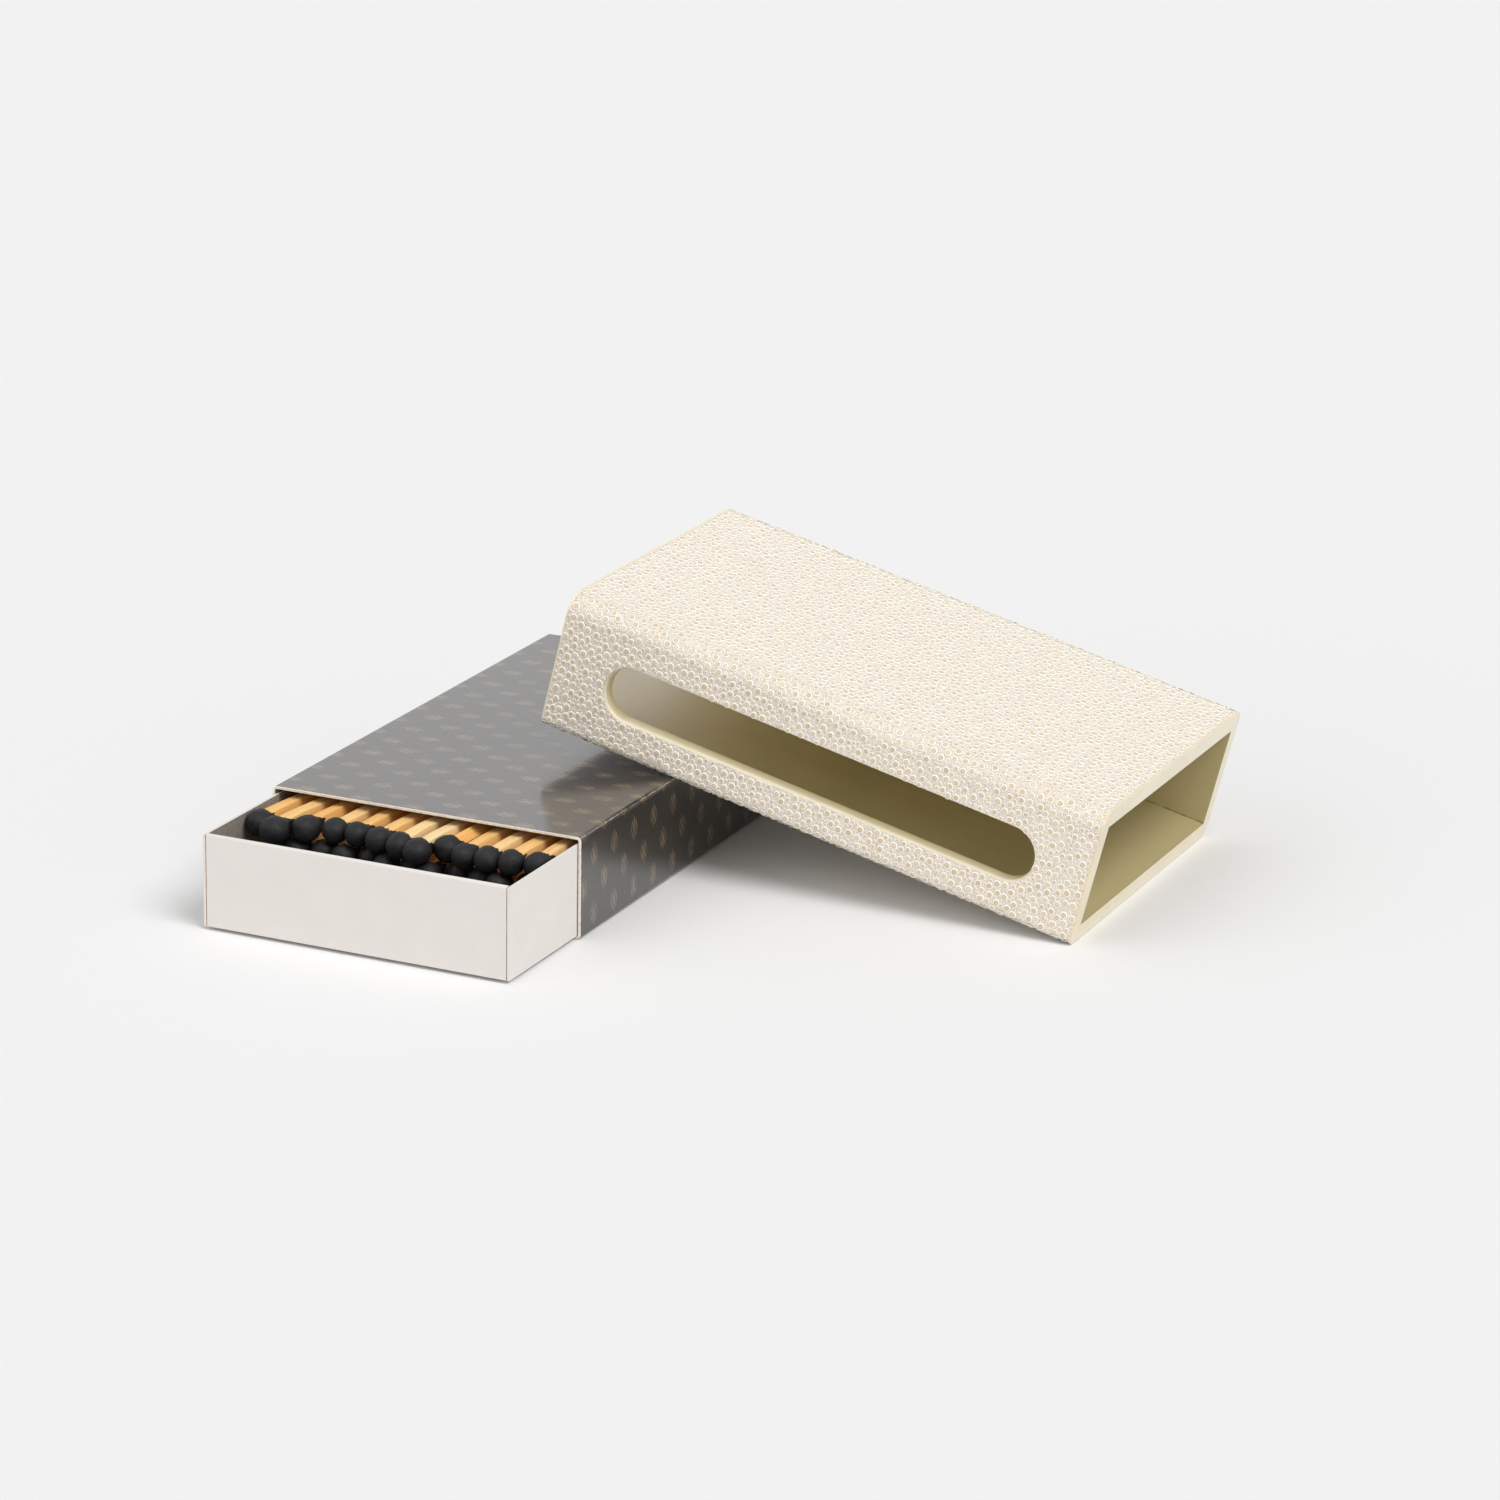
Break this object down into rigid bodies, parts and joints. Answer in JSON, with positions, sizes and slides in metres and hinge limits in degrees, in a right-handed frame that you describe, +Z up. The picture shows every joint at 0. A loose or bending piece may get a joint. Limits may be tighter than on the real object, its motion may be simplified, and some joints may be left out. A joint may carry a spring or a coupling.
{
  "type": "matchbox holder",
  "caption": "Open-ended resin matchbox holder wrapped in shagreen, with a striking slot in one side, leaning on its part-open box of long black-headed matches.",
  "frame": {"origin": "on the surface that the box lies on, under the middle of the whole set's bounding box", "axes": "+Z up; +X along the holder's length and the box's width, towards the holder's low end, which stands on the surface; +Y along the box's length, away from the end where its tray is drawn out"},
  "size_m": [0.1496, 0.1372, 0.0521],
  "materials": {
    "resin": "satin cream resin",
    "shagreen": "satin cream shagreen with beige pits",
    "printed_board": "satin grey printed board",
    "striker": "rough dark striking surface",
    "tray_board": "matt off-white board",
    "match_wood": "bare split wood",
    "match_head": "matt black match compound"
  },
  "bodies": {
    "box": {"box_cover": "printed_board", "striker_strip": "striker"},
    "tray": {"match_tray": "tray_board", "match_01_stick": "match_wood", "match_01_head": "match_head", "match_02_stick": "match_wood", "match_02_head": "match_head", "match_03_stick": "match_wood", "match_03_head": "match_head", "match_04_stick": "match_wood", "match_04_head": "match_head", "match_05_stick": "match_wood", "match_05_head": "match_head", "match_06_stick": "match_wood", "match_06_head": "match_head", "match_07_stick": "match_wood", "match_07_head": "match_head", "match_08_stick": "match_wood", "match_08_head": "match_head", "match_09_stick": "match_wood", "match_09_head": "match_head", "match_10_stick": "match_wood", "match_10_head": "match_head", "match_11_stick": "match_wood", "match_11_head": "match_head", "match_12_stick": "match_wood", "match_12_head": "match_head", "match_13_stick": "match_wood", "match_13_head": "match_head", "bottom_row_sticks": "match_wood", "bottom_row_heads": "match_head", "second_row_sticks": "match_wood", "second_row_heads": "match_head", "third_row_sticks": "match_wood", "third_row_heads": "match_head"},
    "holder": {"holder_shell": "resin", "shagreen_wrap": "shagreen"}
  },
  "joints": [
    {"name": "tray_slide", "type": "slide", "parent": "box", "child": "tray", "axis": [0, -1, 0], "range_m": [-0.135, 0.082]},
    {"name": "holder_lift", "type": "slide", "parent": "box", "child": "holder", "axis": [0, 0, 1], "range_m": [0, 0.06]}
  ]
}
